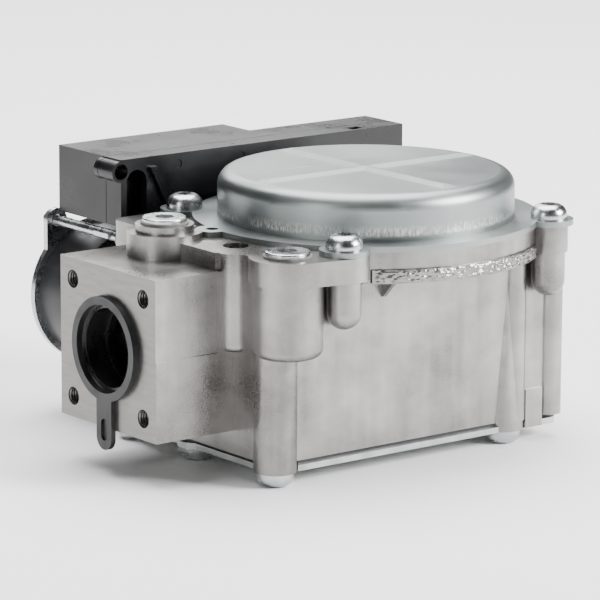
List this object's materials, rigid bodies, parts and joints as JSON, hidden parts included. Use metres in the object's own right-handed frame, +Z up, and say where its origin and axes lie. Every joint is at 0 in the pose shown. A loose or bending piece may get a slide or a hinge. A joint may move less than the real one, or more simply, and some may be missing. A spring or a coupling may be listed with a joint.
{
  "type": "gas valve",
  "caption": "Cast combination gas valve with square pipe flanges, round diaphragm cover, solenoid coil, plug-in housing and test plugs.",
  "frame": {"origin": "centre of the inlet flange face", "axes": "+X with the gas flow from inlet to outlet, +Y towards the coil, +Z up towards the diaphragm cover"},
  "size_m": [0.1416, 0.1294, 0.0757],
  "materials": {
    "cast_aluminium": "satin as-cast",
    "zinc_cover": "zinc-plated deep-drawn sheet",
    "zinc_hardware": "bright zinc plate",
    "black_rubber": "matt",
    "grey_seal": "matt",
    "black_plastic": "fine moulded grain",
    "strainer_plastic": "satin",
    "coil_plastic": "satin",
    "bobbin_plastic": "satin",
    "copper_wire": "enamelled",
    "core_steel": "turned",
    "spring_steel": "drawn wire",
    "brass": "turned",
    "board": "solder mask",
    "header_plastic": "satin",
    "pin_tin": "tinned"
  },
  "bodies": {
    "valve_body": {"body_casting": "cast_aluminium", "inlet_strainer": "strainer_plastic", "inlet_gasket": "black_rubber", "outlet_gasket": "black_rubber", "bottom_gasket": "black_rubber", "bottom_plate": "zinc_cover", "bottom_screws": "zinc_hardware", "diaphragm": "grey_seal", "diaphragm_cover": "zinc_cover", "cover_screws": "zinc_hardware", "inlet_test_plug": "zinc_hardware", "mid_test_plug": "zinc_hardware", "inlet_plug_seal": "grey_seal", "mid_plug_seal": "grey_seal", "safety_seat_ring": "cast_aluminium", "armature_tube": "brass", "tube_seal": "black_rubber", "pole_core": "core_steel", "coil_bobbin": "bobbin_plastic", "coil_winding": "copper_wire", "coil_jacket": "coil_plastic", "coil_end_plate": "zinc_hardware", "coil_core_nut": "zinc_hardware", "coil_retaining_rod": "zinc_hardware", "housing_front": "black_plastic", "housing_rear": "black_plastic", "housing_screw": "zinc_hardware", "circuit_board": "board", "connector_headers": "header_plastic", "connector_pins": "pin_tin", "main_seat_ring": "cast_aluminium", "main_spring": "spring_steel", "servo_tube": "brass", "servo_coil": "coil_plastic", "servo_coil_clip": "zinc_hardware"},
    "safety_valve": {"armature": "core_steel", "armature_spring": "spring_steel", "safety_disc": "core_steel", "safety_seal": "black_rubber"},
    "main_valve": {"main_stem": "core_steel", "main_disc": "core_steel", "main_seal": "black_rubber", "lower_plate": "core_steel", "upper_plate": "core_steel", "stem_nut": "zinc_hardware"},
    "servo_core": {"servo_plunger": "core_steel", "servo_spring": "spring_steel"},
    "throttle": {"throttle_screw": "zinc_hardware"}
  },
  "joints": [
    {"name": "safety_valve_lift", "type": "slide", "parent": "valve_body", "child": "safety_valve", "axis": [0, 1, 0], "range_m": [0, 0.003], "stiffness_N_per_m": 600, "springref_m": -0.004},
    {"name": "main_valve_lift", "type": "slide", "parent": "valve_body", "child": "main_valve", "axis": [0, 0, 1], "range_m": [0, 0.004], "stiffness_N_per_m": 400, "springref_m": -0.004, "deforming": ["main_spring", "diaphragm"]},
    {"name": "servo_lift", "type": "slide", "parent": "valve_body", "child": "servo_core", "axis": [0, 1, 0], "range_m": [0, 0.0015], "stiffness_N_per_m": 300, "springref_m": -0.003},
    {"name": "throttle_turn", "type": "hinge", "parent": "valve_body", "child": "throttle", "pos_m": [0.0305, -0.0155, 0.02], "axis": [0, 0, 1], "range_deg": [-170, 170]}
  ]
}
